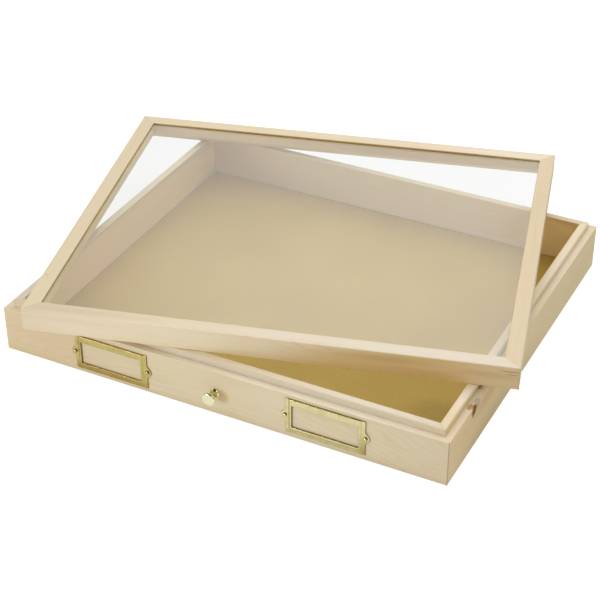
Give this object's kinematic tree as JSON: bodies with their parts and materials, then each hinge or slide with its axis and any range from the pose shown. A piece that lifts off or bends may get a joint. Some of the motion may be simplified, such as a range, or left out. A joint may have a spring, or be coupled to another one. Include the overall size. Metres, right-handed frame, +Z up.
{
  "type": "insect collection drawer",
  "caption": "Shallow pale wooden collection drawer with brass label holders and a brass knob, its glazed lid lying askew on top.",
  "frame": {"origin": "on the surface that the drawer stands on, under the middle of the askew lid, which is the middle of the whole object seen from above", "axes": "+X along the drawer's front towards its right end, +Y from the front towards the back, +Z up"},
  "size_m": [0.574, 0.529, 0.0808],
  "materials": {
    "pale_wood": "bare sanded pale hardwood, matt",
    "hardboard": "smooth golden brown board, matt",
    "lid_glass": "clear float glass",
    "brass": "bright polished brass"
  },
  "bodies": {
    "root": {"drawer_front": "pale_wood", "drawer_back": "pale_wood", "drawer_left_side": "pale_wood", "drawer_right_side": "pale_wood", "drawer_bottom": "hardboard", "lid_front_rail": "pale_wood", "lid_back_rail": "pale_wood", "lid_left_rail": "pale_wood", "lid_right_rail": "pale_wood", "lid_glass": "lid_glass", "label_holder_left": "brass", "label_holder_left_pin_left": "brass", "label_holder_left_pin_right": "brass", "label_holder_right": "brass", "label_holder_right_pin_left": "brass", "label_holder_right_pin_right": "brass", "drawer_knob": "brass"}
  },
  "joints": []
}
